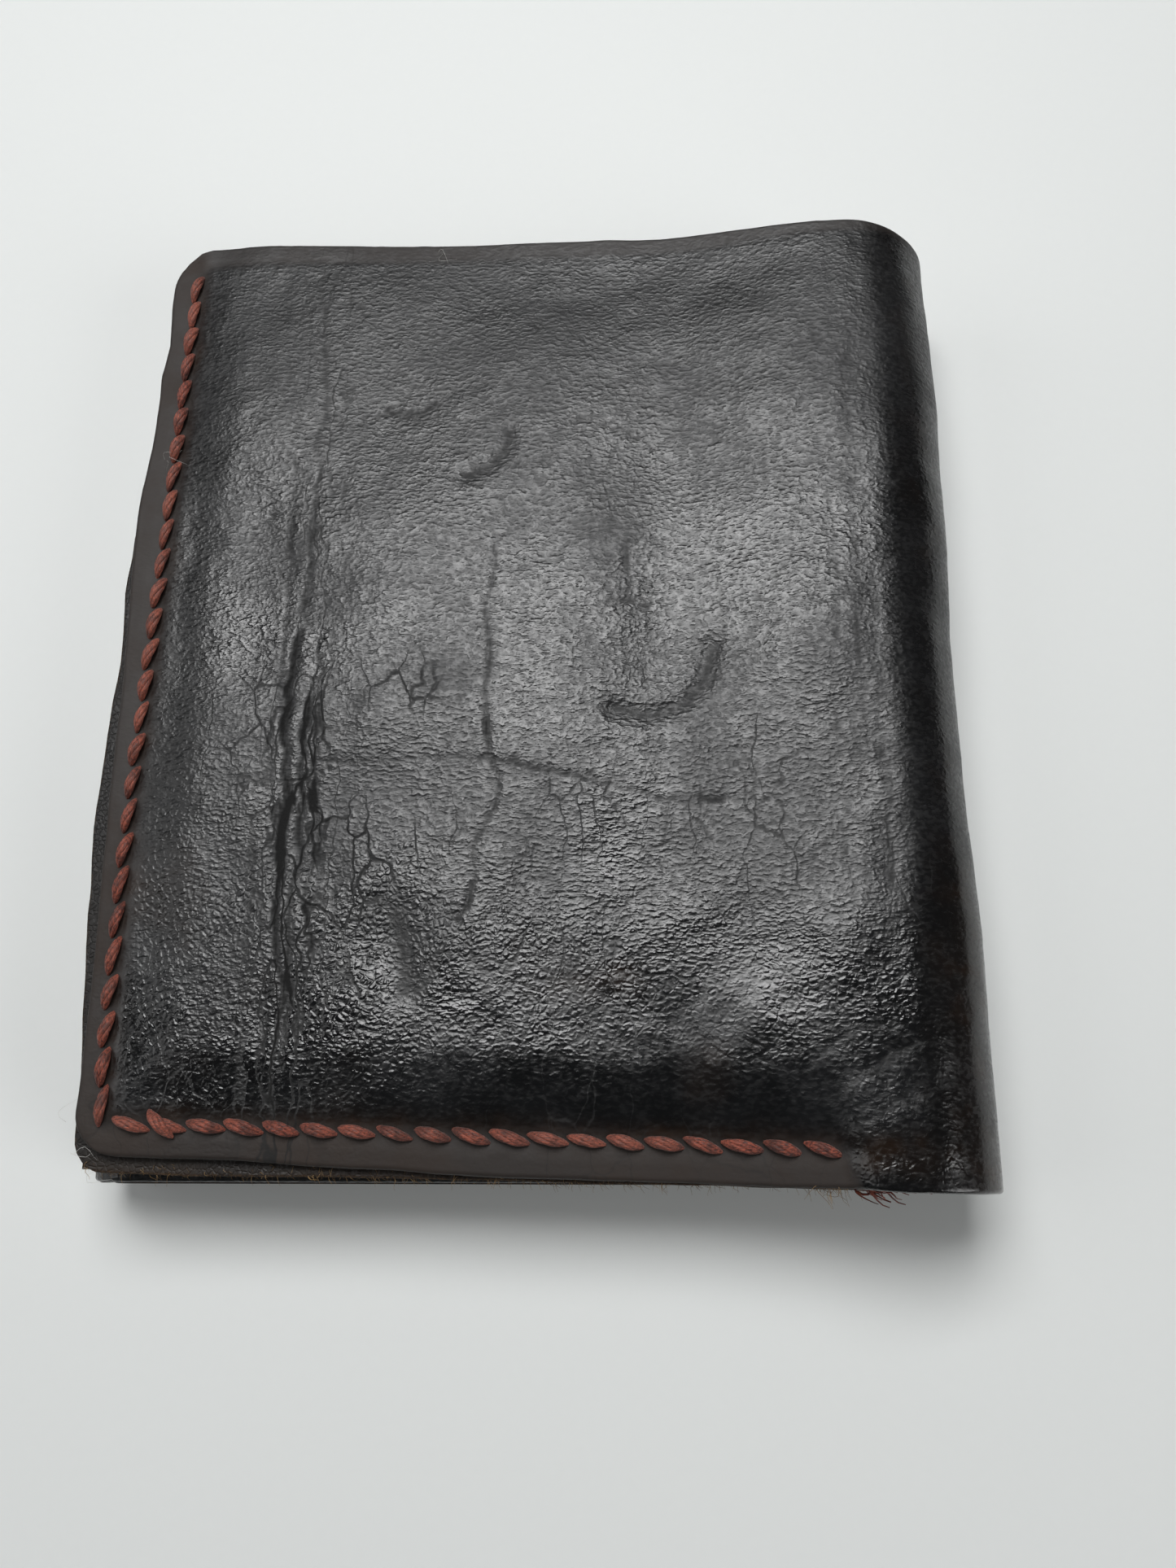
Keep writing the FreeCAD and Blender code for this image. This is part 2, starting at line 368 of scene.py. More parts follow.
# pocket and bill wall leather: smooth, near black, a little glossy, brown where it rubs
def makeLiningLeather():
    material, g, coords = newMaterial("liningLeather")
    black, grey = (0.0035, 0.003, 0.003), (0.013, 0.010, 0.008)
    rubbed, fleshy = (0.024, 0.013, 0.006), (0.075, 0.042, 0.018)
    grain = cells(g, wavering(g, coords, coords, 600, 0.5), 1700)
    fine = noise(g, coords, 3800, 3.0, 0.6)
    patches = noise(g, coords, 110, 4.0, 0.6).ramp(0.35, 0.7)
    colour = mixColour(g, patches * 0.6 + fine * 0.4, black, grey)
    colour = mixColour(g, attribute(g, "margin") * (0.4 + patches * 0.6), colour, rubbed)
    colour = mixColour(g, attribute(g, "raw") * fine.ramp(0.4, 0.62), colour, fleshy)
    height = grain.ramp(0.0, 0.2) + fine * 0.6
    rough = 0.42 + patches * 0.12 + fine * 0.12 + attribute(g, "raw") * 0.3
    finishMaterial(g, {"Base Color": colour, "Roughness": rough.clamp(),
                       "Specular IOR Level": 0.4}, height, 0.06, 0.7)
    return material


# waxed red-brown thread: fibres run along each ply
def makeThread(name, stretch):
    material, g, coords = newMaterial(name)
    dark, red = (0.050, 0.010, 0.007), (0.33, 0.075, 0.040)
    faded, dirty = (0.42, 0.15, 0.10), (0.022, 0.008, 0.006)
    fibres = noise(g, stretched(g, coords, stretch), 5200, 3.0, 0.6)
    dirt = noise(g, coords, 700, 3.0).ramp(0.42, 0.72)
    fade = noise(g, coords, 60, 2.0).ramp(0.35, 0.7)
    colour = mixColour(g, fibres.ramp(0.34, 0.66), dark, red)
    colour = mixColour(g, fade * 0.25, colour, faded)
    colour = mixColour(g, dirt * 0.65, colour, dirty)
    finishMaterial(g, {"Base Color": colour, "Roughness": 0.45 + fibres * 0.25,
                       "Sheen Weight": 0.12, "Sheen Roughness": 0.5}, fibres, 0.09, 0.9)
    return material


def makeFibre(name, dark, light):
    material, g, coords = newMaterial(name)
    mixed = noise(g, coords, 900, 2.0).ramp(0.35, 0.65)
    colour = mixColour(g, mixed, dark, light)
    finishMaterial(g, {"Base Color": colour, "Roughness": 0.6 + mixed * 0.2})
    return material


def makeFloorMaterial():
    material, g, coords = newMaterial("floor")
    cloud = noise(g, coords, 4.0, 3.0)
    fine = noise(g, coords, 900, 2.0)
    colour = mixColour(g, cloud * 0.5 + fine * 0.2, (0.78, 0.80, 0.79), (0.84, 0.86, 0.85))
    finishMaterial(g, {"Base Color": colour, "Roughness": 0.38 + fine * 0.1,
                       "Specular IOR Level": 0.35}, fine, 0.01, 0.2)
    return material


coverLeather = makeCoverLeather()
liningLeather = makeLiningLeather()
rawLeather = makeRawLeather()
threadUp = makeThread("threadUp", (1.4, 0.35, 1.4))
threadAcross = makeThread("threadAcross", (0.35, 1.4, 1.4))
tanFibre = makeFibre("tanFibre", (0.11, 0.060, 0.022), (0.36, 0.23, 0.10))
redFibre = makeFibre("redFibre", (0.10, 0.016, 0.011), (0.30, 0.07, 0.04))
lintFibre = makeFibre("lintFibre", (0.45, 0.45, 0.43), (0.75, 0.74, 0.70))
print("materials")


def makeFloor():
    size = 1600.0
    bpy.ops.mesh.primitive_grid_add(x_subdivisions=8, y_subdivisions=8, size=size * mm)
    floor = bpy.context.object
    floor.name = "floor"
    floor.data.materials.append(makeFloorMaterial())


makeFloor()


# meshes
def newObject(name, vertices, faces, materials, attributes=None, slots=None):
    mesh = bpy.data.meshes.new(name)
    mesh.from_pydata((np.asarray(vertices, float) * mm).tolist(), [], faces)
    for material in materials:
        mesh.materials.append(material)
    if slots is not None:
        mesh.polygons.foreach_set("material_index", slots)
    for key, values in (attributes or {}).items():
        layer = mesh.attributes.new(key, "FLOAT", "POINT")
        layer.data.foreach_set("value", np.asarray(values, np.float32).ravel())
    piece = bpy.data.objects.new(name, mesh)
    bpy.context.collection.objects.link(piece)
    return piece


def faceOutwards(mesh):
    work = bmesh.new()
    work.from_mesh(mesh)
    bmesh.ops.recalc_face_normals(work, faces=work.faces)
    work.to_mesh(mesh)
    work.free()


def softShade(mesh):
    sharpAngle = 50
    mesh.polygons.foreach_set("use_smooth", [True] * len(mesh.polygons))
    mesh.set_sharp_from_angle(angle=math.radians(sharpAngle))
    mesh.update()


# places along a side: close together at a cut edge and inside the bands, step apart elsewhere
def samples(length, step, fineStart=True, fineEnd=True, bands=()):
    fine = [0.0, 0.05, 0.13, 0.24, 0.38, 0.56, 0.8]
    start = fine if fineStart else [0.0]
    end = fine if fineEnd else [0.0]
    low, high = start[-1], length - end[-1]
    dense = np.linspace(low, high, 4001)
    rate = np.full_like(dense, 1 / step)
    for bandLow, bandHigh, bandStep in bands:
        rate[(dense > bandLow) & (dense < bandHigh)] = 1 / bandStep
    walked = np.concatenate([[0], np.cumsum((rate[1:] + rate[:-1]) / 2 * np.diff(dense))])
    count = max(2, int(round(walked[-1])))
    middle = list(np.interp(np.linspace(0, walked[-1], count + 1), walked, dense))
    return np.array(start[:-1] + middle + [length - e for e in end[-2::-1]])


def shell(name, outer, inner, materials, attributes):
    rows, columns = outer.shape[:2]
    index = np.arange(rows * columns).reshape(rows, columns)
    count = rows * columns
    quads = np.stack([index[:-1, :-1], index[1:, :-1], index[1:, 1:], index[:-1, 1:]], -1)
    top = quads.reshape(-1, 4)
    under = top[:, ::-1] + count
    loop = np.concatenate([index[:-1, 0], index[-1, :-1], index[:0:-1, -1], index[0, :0:-1]])
    after = np.roll(loop, -1)
    rim = np.stack([loop, after, after + count, loop + count], -1)
    slots = np.repeat([0, 1, 2], [len(top), len(under), len(rim)])
    vertices = np.concatenate([outer.reshape(-1, 3), inner.reshape(-1, 3)])
    values = {key: np.concatenate([np.ravel(a), np.ravel(b)]) for key, (a, b) in attributes.items()}
    faces = np.concatenate([top, under, rim]).tolist()
    piece = newObject(name, vertices, faces, materials, values, slots)
    faceOutwards(piece.data)
    softShade(piece.data)
    return piece


def cornerInset(distance, radius):
    d = np.clip(distance, 0, radius)
    return radius - np.sqrt(radius ** 2 - (radius - d) ** 2)


def alongList(points):
    places, values = zip(*points)
    return lambda t: np.interp(t, places, values)


# fullness of the outer fold: how far it stands up and out beyond a plain half round
fullness = {
    "startX": 13.0,
    "rise": 2.3,
    "topRise": 0.9,
    "riseSpan": (5.0, 50.0),
    "out": 1.2,
    "topOut": 0.9,
    "outSpan": (-5.0, 40.0),
    "innerOut": 0.9,
    "innerReach": 42.0,
}


def foldRise(y):
    higher = ease(y, *fullness["riseSpan"])
    return fullness["rise"] + fullness["topRise"] * higher


def foldOut(y):
    higher = ease(y, *fullness["outSpan"])
    return fullness["out"] + fullness["topOut"] * higher


def innerFoldOut(y):
    return fullness["innerOut"] * bell(y, fullness["innerReach"])


def liftAt(x, y):
    return foldRise(y) * ease(x, fullness["startX"], outerFold["x"])


def noOffset(t):
    return np.zeros_like(t)


reliefFade = 5.0   # the relief dies away over this length before halfway round the fold


# one side of a folded sheet, from its cut edge (or the panel's middle) to halfway round its fold
def foldedSheet(name, sheet, relief, materials):
    fold, level, side = sheet["fold"], sheet["level"], sheet["fold"]["side"]
    radius = fold["r"] - sheet["inset"]
    share = radius / fold["r"]
    flat = abs(fold["x"] - sheet["free"])
    total = flat + radius * math.pi / 2
    cut = sheet.get("cut", True)
    across = samples(total, sheet["step"], cut, False, sheet.get("bands", ()))
    along = samples(sheet["high"] - sheet["low"], sheet.get("alongStep", sheet["step"]),
                    bands=sheet.get("alongBands", ()))
    s, v = np.meshgrid(across, along, indexing="ij")
    y = sheet["low"] + v
    start = np.zeros_like(v)
    if cut:
        start = cornerInset(sheet["high"] - y, sheet["topCorner"])
        start = start + cornerInset(y - sheet["low"], sheet["bottomCorner"]) - sheet["edge"](y)
    s = start + s * (total - start) / total
    u = sheet["free"] + side * s
    height = sheet["high"] - sheet["low"]
    low = sheet["low"] + sheet.get("lowEdge", noOffset)(u)
    high = sheet["high"] + sheet.get("highEdge", noOffset)(u)
    y = low + v / height * (high - low)
    angle = np.clip((s - flat) / (total - flat), 0, 1) * math.pi / 2
    out = foldOut(y) if side > 0 else innerFoldOut(y)
    rise = liftAt(u, y) * share if side > 0 and level > 0 else np.zeros_like(u)
    x = np.where(s < flat, u, fold["x"] + side * (radius + out * share) * np.sin(angle))
    z = fold["z"] + level * np.where(s < flat, radius + rise, (radius + rise) * np.cos(angle))
    normal = np.stack([side * np.sin(angle), np.zeros_like(x), level * np.cos(angle)], -1)
    fade = smooth((total - s) / reliefFade)
    upper, lower, marks = relief(u, y)
    toEdge = np.minimum(y - low, high - y)
    if cut:
        toEdge = np.minimum(toEdge, s - start)
    rounding = sheet["rounding"]
    drop = cornerInset(toEdge, rounding)
    base = np.stack([x, y, z], -1)
    outer = base + normal * (upper * fade - drop)[..., None]
    inner = base + normal * (lower * fade - sheet["thickness"] + drop)[..., None]
    raw = 1 - smooth(toEdge / (rounding * 1.5))
    inside = 1.0 if sheet.get("marksInside") else 0.0
    attributes = {key: (value, value * inside) for key, value in marks.items()}
    attributes["raw"] = (raw, raw)
    return shell(name, outer, inner, materials, attributes)


# the front cover's wear: every line is (depth, width, points), in the plane of the panel
frontWear = {
    "sideRow": [(-42.6, 52.3), (-42.7, 35), (-42.9, 19), (-43.1, 4), (-43.4, -11),
                (-43.4, -26), (-43.1, -40), (-42.8, -47), (-42.4, -50.2)],
    "bottomRow": [(-41.5, -50.1), (-28, -50.4), (-18, -50.8), (-3.4, -51.3), (12.6, -51.9),
                  (31.1, -52.5)],
    "cracks": [
        (0.16, 0.45, [(-27, 51), (-25.4, 33), (-25.6, 16), (-25.7, 1)]),
        (0.12, 0.40, [(-28.4, 26), (-28.0, 10), (-27.2, -2), (-27.0, -8)]),
        (0.62, 0.42, [(-25.9, 3), (-26.8, -8), (-26.1, -18), (-26.2, -27), (-25.3, -37), (-25.1, -49)]),
        (0.50, 0.34, [(-24.6, -5), (-24.7, -15), (-24.4, -24), (-24.6, -34), (-24.2, -46)]),
        (0.30, 0.30, [(-23.4, -11), (-22.9, -20), (-23.3, -28), (-22.2, -34)]),
        (0.16, 0.28, [(-29.5, -18), (-28.7, -26), (-28.9, -34), (-27.8, -41)]),
        (0.16, 0.26, [(-19.5, -14), (-19.2, -22), (-20.2, -27), (-18.6, -33)]),
        (0.18, 0.32, [(-4.3, 13), (-4.5, 1), (-4.4, -8)]),
        (0.34, 0.30, [(-4.4, -8), (-4.5, -12), (-3.3, -14), (-3.9, -19), (-5.6, -25), (-7.4, -29.8)]),
        (0.24, 0.28, [(-7.4, -29.6), (-5.6, -32), (-3.2, -35.8)]),
        (0.22, 0.26, [(-7.4, -29.6), (-9.5, -34), (-12, -38)]),
        (0.22, 0.36, [(-5.2, -12.2), (-0.9, -12.6), (4.4, -14.2), (9.6, -15.3), (14, -17), (20, -17.3)]),
        (0.22, 0.28, [(6.6, -14), (9, -16.4), (10.2, -20)]),
        (0.24, 0.30, [(7.4, 6.2), (10.7, 6.6), (13.2, 5.6)]),
        (0.18, 0.30, [(10.4, 6.4), (11.4, 10.4), (11.0, 14.0)]),
        (0.20, 0.40, [(4.1, 30), (8, 28.8), (12.8, 27.4)]),
        (0.22, 0.55, [(-17.4, 32), (-15.4, 31.0), (-12.9, 31.2), (-11.5, 32.6)]),
        (0.14, 0.30, [(35.8, 36), (36.4, 20), (35.6, 4), (36.0, -10)]),
        (0.12, 0.26, [(33.4, 18), (33.9, 2), (33.0, -14), (33.4, -24)]),
        (0.16, 0.28, [(37.8, 8), (37.4, -8), (37.8, -24), (36.8, -36)]),
        (0.30, 0.50, [(29.5, -47.8), (33.6, -45.4), (39.4, -42.6)]),
        (0.24, 0.45, [(31.5, -50.6), (36.0, -48.2), (41.5, -46.0)]),
        (0.20, 0.40, [(27.5, -44.2), (32.0, -41.8), (37.0, -41.2)]),
        (0.14, 0.30, [(30, 44), (32, 40), (33.5, 36)]),
        (0.10, 0.25, [(-38, -6), (-33, -9), (-27.5, -10)]),
        (0.10, 0.25, [(-24, -12), (-18, -12.6), (-12, -12.2), (-5, -12.4)]),
        (0.08, 0.30, [(-30, 24.6), (-22, 24.2), (-14, 25), (-6, 23.6), (2, 24.4)]),
    ],
    "dents": [
        (0.26, 1.0, [(-7.6, 22.4), (-4.9, 23.8), (-3.1, 25.8), (-2.6, 28.2)]),
        (0.34, 1.05, [(9.0, -6.6), (13.2, -7.5), (16.6, -6.3), (19.0, -3.6), (20.0, 0.4)]),
        (0.22, 1.6, [(-13.6, -29), (-12.9, -33.5), (-12.4, -37)]),
    ],
    # (x, y, reach, amount): where the wax is rubbed bright, or dull when the amount is below zero
    "sheen": [
        (-32, 3, 6, 0.7), (-19.6, 4, 5, 0.5), (1, 9, 9, 0.3), (8, 27, 8, 0.2), (22, 10, 9, 0.5),
        (8.7, -22, 8, 0.8), (-1, -5, 6, 0.4), (-13, -22, 6, 0.5), (-32, -22, 5, 0.4),
        (35.7, 14, 5, 0.4), (8, 17, 5, -0.6), (21, -2, 3, -0.6), (-9, -3, 4, -0.5),
        (-14, -33.5, 4, -0.5), (-24.5, 6, 2.5, -0.5), (30, 38, 12, -0.2), (-20, 45, 18, -0.3),
        (24, -23, 7, -0.5),
    ],
    "rowRunsOnTo": (38.0, -53.2),
    "glossySpan": (-20.0, -40.0),
    "topLine": 2.7,
    "topLineDepth": 0.10,
    "pillow": 0.85,
    "pillowEdge": 8.5,
    "press": 0.34,
    "pucker": 0.22,
    "holeReach": 0.55,
    "rowReach": 2.5,
    "uneven": 0.62,
    "crackDepth": 0.55,
    "ridges": 0.13,
    "stripes": 0.05,
}


def rowHoles(points, count):
    places = np.array(points, float)
    steps = np.hypot(*np.diff(places, axis=0).T)
    walked = np.concatenate([[0], np.cumsum(steps)])
    at = np.linspace(0, walked[-1], count + 1)
    return np.stack([np.interp(at, walked, places[:, 0]), np.interp(at, walked, places[:, 1])], -1)


frontSideHoles = rowHoles(frontWear["sideRow"], 27)
frontBottomHoles = rowHoles(frontWear["bottomRow"], 19)


# how deep the cracks and dents go, and how strongly painted shade darkens them
def frontLines(u, y, wobbleX, wobbleY):
    breaks = (0.6 + 0.4 * valueNoise(u, y, 4.0, 15)) * (0.4 + 0.6 * ease(y, -50, -36))
    lines = np.zeros_like(u)
    crease = np.zeros_like(u)
    for depth, width, points in frontWear["cracks"]:
        d = distanceToLine(u + wobbleX, y + wobbleY, points)
        lines -= frontWear["crackDepth"] * depth * breaks * bell(d, width)
        crease = np.maximum(crease, depth * 3.0 * breaks * bell(d, width * 0.7))
    for depth, width, points in frontWear["dents"]:
        d = distanceToLine(u + wobbleX * 0.4, y + wobbleY * 0.4, points)
        lines -= depth * bell(d, width)
        crease = np.maximum(crease, 0.45 * bell(d, width * 0.42))
    return lines, crease


# the distance to the nearest row, whether a point is inside both rows, how far, and how far below
def frontSeam(u, y):
    sideRow = frontWear["sideRow"]
    bottomRow = frontWear["bottomRow"] + [frontWear["rowRunsOnTo"]]
    row = np.minimum(distanceToLine(u, y, sideRow), distanceToLine(u, y, bottomRow))
    sideX, sideY = zip(*sideRow[::-1])
    fromSide = u - np.interp(y, sideY, sideX)
    overBottom = y - np.interp(u, *zip(*bottomRow))
    fromBottom = overBottom + 24 * ease(u, 30, 39)
    inside = (fromSide > 0) & (fromBottom > 0)
    fromRow = np.where(inside, np.minimum(fromSide, fromBottom), 0)
    return row, inside, fromRow, np.clip(-overBottom, 0, 4)


def frontPucker(u, y, row):
    pucker = np.zeros_like(u)
    near = row < frontWear["rowReach"]
    for x0, y0 in np.concatenate([frontSideHoles, frontBottomHoles]):
        pucker[near] += bell(np.hypot(u[near] - x0, y[near] - y0), frontWear["holeReach"])
    return pucker


def frontRelief(u, y):
    wear = frontWear
    wobbleX = valueNoise(u, y, 5.5, 11) * 0.75 + valueNoise(u, y, 1.9, 12) * 0.34
    wobbleY = valueNoise(u, y, 5.0, 13) * 0.45 + valueNoise(u, y, 1.5, 14) * 0.22
    lines, crease = frontLines(u, y, wobbleX, wobbleY)
    row, inside, fromRow, belowRow = frontSeam(u, y)
    pucker = frontPucker(u, y, row)
    pillow = wear["pillow"] * smooth(fromRow / wear["pillowEdge"]) * (1 - 0.55 * ease(y, 38, 54))
    rowHold = 0.35 + 0.65 * ease(u, 35, 30) * ease(y, 57, 53)
    press = wear["press"] * np.where(inside, bell(row, 1.0), 1.0) * rowHold
    uneven = layeredNoise(u, y, 16, 21, 2) * wear["uneven"]
    ridges = valueNoise(u, y * 0.12, 1.5, 31) * bell(u + 25.5, 5.5) * wear["ridges"] * ease(y, 8, -12)
    stripes = valueNoise(u, y * 0.09, 1.1, 33) * bell(u - 35.5, 3.2) * wear["stripes"]
    knobs = valueNoise(u, y, 1.3, 35) * 0.035 + valueNoise(u, y, 2.9, 37) * 0.05
    margin = np.where(inside, bell(fromRow, 0.9), 1.0) * np.where((u < 34) & (row < 6), 1.0, 0.0)
    fromTop = y - wallet["top"]
    topLine = wear["topLineDepth"] * bell(fromTop + wear["topLine"] + 0.012 * u, 0.22) * ease(u, 34, 24)
    free = 1 - 0.85 * margin
    upper = pillow - press - wear["pucker"] * pucker
    upper += free * (uneven * smooth(fromRow / 5 + 0.1) + lines + knobs)
    upper += ridges + stripes - topLine + 0.10 * margin * (row > 1.2)
    upper -= 0.10 * belowRow * ease(u, 36, 30)
    lower = np.clip(pillow * 0.7 + uneven * 0.5, -0.1, None)
    topEdge = ease(fromTop, -3.2, -2.4) * (u > -44)
    marks = {
        # painted shade in the cracks, the dents and the dimples round the stitch holes
        "crease": np.clip(crease * free + 0.6 * pucker, 0, 1),
        "margin": np.clip(margin * 0.85 + topEdge * 0.45, 0, 1),
        "worn": frontWorn(u, y, row, inside),
        "pebbled": smooth((-18 - y + 0.25 * (20 - u)) / 22) - 0.25,
        "polish": frontPolish(u, y, margin, wobbleX, wobbleY),
        "fine": ease(y, 10, -10) * (0.35 + 0.65 * bell(u + 20, 16)) + 0.15,
        "cracked": bell(u + 24.8, 3.6) * (0.25 + 0.75 * ease(y, 4, -12)),
        "calm": frontCalm(u, y, margin, topEdge, bell(fromRow, 3.6) * inside),
    }
    return upper, lower, marks


# brown where it rubs: beside the rows, along the fold and in patches near the bottom
def frontWorn(u, y, row, inside):
    besideRow = 0.75 * bell(row - 0.6, 1.3) * inside
    fold = 0.6 * bell(u - 44.5, 4.0) * (0.35 + 0.65 * ease(y, -20, -45))
    patches = 0.6 * smooth(valueNoise(u, y, 9, 41) * 1.6 - 0.7) * ease(y, -5, -35)
    return np.clip(besideRow + fold + patches, 0, 1)


# shinier above zero, duller below it
def frontPolish(u, y, margin, wobbleX, wobbleY):
    polish = (bell(u - 42.5, 2.5) + ease(y, *frontWear["glossySpan"])) * 0.9
    for x0, y0, reach, amount in frontWear["sheen"]:
        polish += amount * bell(np.hypot(u + wobbleX * 4 - x0, y + wobbleY * 4 - y0), reach)
    return np.clip(polish * (1 - margin) - 0.35 * ease(y, 22, 36), -0.6, 1)


# where the fine grain is worn smooth: the edges, the bottom and the fold
def frontCalm(u, y, margin, topEdge, besideRow):
    calm = 0.75 * margin + 0.7 * bell(u - 17, 21) * ease(y, -29, -39)
    calm += 0.5 * topEdge + 0.55 * besideRow * (u < 30)
    corner = 0.6 * ease(u, -16, -6) * ease(y, -36, -44)
    fold = (0.55 + 0.35 * ease(y, -12, -28)) * ease(u, 37, 42)
    return np.clip(np.maximum(np.maximum(calm, corner), fold), 0, 0.9)


def plainRelief(seed, amount, creases=()):
    def relief(u, y):
        uneven = layeredNoise(u, y, 17, seed, 3) * amount
        knobs = valueNoise(u, y, 1.6, seed + 7) * amount * 0.15
        lines = np.zeros_like(u)
        crease = np.zeros_like(u)
        wobble = valueNoise(u, y, 5.0, seed + 9) * 0.5
        for depth, width, points in creases:
            d = distanceToLine(u + wobble, y + wobble, points)
            lines -= depth * bell(d, width)
            # painted shade along the creases
            crease = np.maximum(crease, depth * 2 * bell(d, width * 0.6))
        worn = smooth(valueNoise(u, y, 11, seed + 3) * 1.4 - 0.5) * 0.6
        marks = {"crease": np.clip(crease, 0, 1), "worn": worn, "fine": np.full_like(u, 0.5),
                 "pebbled": valueNoise(u, y, 20, seed + 5) * 0.5 + 0.3}
        return uneven + knobs + lines, np.zeros_like(u), marks
    return relief


def wavyEdge(amount, seed):
    return lambda t: amount * layeredNoise(np.asarray(t, float), np.zeros_like(t), 9, seed, 3)


def coverSheets():
    skins = [coverLeather, rawLeather, rawLeather]
    common = {"inset": 0.0, "thickness": wallet["cover"], "low": wallet["bottom"],
              "high": wallet["top"], "rounding": 0.42, "topCorner": 6.0, "bottomCorner": 4.0}
    freeOut = alongList([(-56, 0.2), (-44, 0.1), (-31, 0.4), (-18, 0.7), (-4, 0.8), (9, 1.4),
                         (15, 1.5), (21, 1.4), (27, 0.9), (34, 0.7), (37, 0.8), (41.5, 0.2),
                         (47, 0.5), (56, 0.6)])
    lowOut = alongList([(-46, 3.2), (-41, 2.6), (-28, 2.3), (-19.5, 1.7), (-3.3, 0.9), (12.5, 0.4),
                        (28, 0.0), (38.7, -0.4), (50, -0.7)])
    highOut = alongList([(-46, 0.3), (-39, 0.4), (-10, -0.2), (4, -0.3), (20, -0.5), (30, -0.9),
                         (38.7, -1.2), (43.5, -2.0), (50, -2.6)])
    jag = wavyEdge(0.16, 51)
    front = foldedSheet("frontCover", {
        **common, "fold": outerFold, "level": 1, "free": wallet["freeEdge"], "step": 0.55,
        "alongStep": 0.62, "alongBands": [(37.0, 46.0, 0.34)],
        "bands": [(16.5, 25.5, 0.26), (38.0, 43.5, 0.3)],
        "edge": lambda y: freeOut(y) + jag(y),
        "lowEdge": lambda x: lowOut(x) + jag(x + 31), "highEdge": highOut,
    }, frontRelief, skins)
    back = {**common, "level": -1, "free": 0.0, "cut": False, "step": 0.9}
    seamLow, seamHigh = lowOut(50.0), highOut(50.0)
    backLines = [(0.2, 0.5, [(-20, 40), (-17, 12), (-19, -18)]),
                 (0.2, 0.4, [(9, 22), (14, 4), (11, -26)]),
                 (0.15, 0.4, [(-34, -30), (-8, -34), (26, -31)])]
    right = foldedSheet("backCoverRight", {
        **back, "fold": outerFold,
        "lowEdge": lambda x: seamLow * ease(x, 8, 38),
        "highEdge": lambda x: seamHigh * ease(x, 8, 42),
    }, restingRelief(61, backLines), skins)
    left = foldedSheet("backCoverLeft", {**back, "fold": innerFold}, restingRelief(61, backLines), skins)
    inner = foldedSheet("innerCover", {
        **common, "fold": innerFold, "level": 1, "free": wallet["innerEdge"], "step": 0.9,
        "edge": wavyEdge(0.2, 55),
        "lowEdge": lambda x: np.full_like(x, 0.2), "highEdge": lambda x: np.full_like(x, -0.2),
    }, innerRelief(71), skins)
    return front, right, left, inner


# the back lies on the table, so it only sinks in; the inner panel has no room to stand proud
def restingRelief(seed, creases):
    sink, edgeReach = 0.12, 9
    plain = plainRelief(seed, 0.10, creases)

    def relief(u, y):
        upper, lower, marks = plain(u, y)
        edge = (wallet["top"] - np.abs(y)) / edgeReach
        return np.minimum(upper - sink, 0), lower, {**marks, "polish": smooth(edge) * 0.5}
    return relief


def innerRelief(seed):
    sink, rowInset = 0.08, 2.7
    plain = plainRelief(seed, 0.08)

    def relief(u, y):
        upper, lower, marks = plain(u, y)
        row = np.abs(u - wallet["innerEdge"] + rowInset)
        return np.minimum(upper - sink, 0.0), lower, {**marks, "margin": bell(row, 1.5)}
    return relief


wallLowEdge = alongList([(-46, 1.5), (-43, 1.2), (-36, 0.9), (-20, 0.75), (-4, 0.5), (12, 0.1),
                         (29, 0.0), (50, -0.3)])


def wallSheets():
    common = {"inset": wallet["wallInset"], "thickness": wallet["wall"], "low": wallet["bottom"],
              "high": wallet["wallTop"], "rounding": 0.2, "topCorner": 6.0, "bottomCorner": 4.0,
              "marksInside": True}
    peek = alongList([(-56, 0.6), (-47, 0.8), (-40, 1.3), (-31, 2.0), (-20, 2.6), (-9, 2.5),
                      (0, 2.1), (9, 2.6), (16, 2.3), (24, 1.6), (31, 0.6), (40, 0.2), (56, 0.0)])
    jag = wavyEdge(0.30, 81)
    skins = [rawLeather, liningLeather, rawLeather]
    front = foldedSheet("billWallFront", {
        **common, "fold": outerFold, "level": 1, "free": wallet["freeEdge"], "step": 0.8,
        "bottomCorner": 3.0, "edge": lambda y: peek(y) + jag(y),
        "lowEdge": lambda x: wallLowEdge(x) + 0.6 * jag(x + 47),
    }, thinRelief(83), [liningLeather, liningLeather, rawLeather])
    back = {**common, "level": -1, "free": 0.0, "cut": False, "step": 1.2}
    right = foldedSheet("billWallRight", {**back, "fold": outerFold}, thinRelief(85), skins)
    left = foldedSheet("billWallLeft", {**back, "fold": innerFold}, thinRelief(85), skins)
    inner = foldedSheet("billWallInner", {
        **common, "fold": innerFold, "level": 1, "free": wallet["innerEdge"], "step": 1.2,
        "edge": wavyEdge(0.15, 87),
    }, thinRelief(89), skins)
    return front, right, left, inner


def thinRelief(seed):
    def relief(u, y):
        soft = layeredNoise(u, y, 9, seed, 3) * 0.05
        edge = np.minimum(y - wallet["bottom"], wallet["top"] - y)
        return soft, soft, {"margin": bell(edge, 2.0)}
    return relief


# the sheet's placement is baked into its mesh
def bendAround(piece, fold, level, bodies):
    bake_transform(piece)


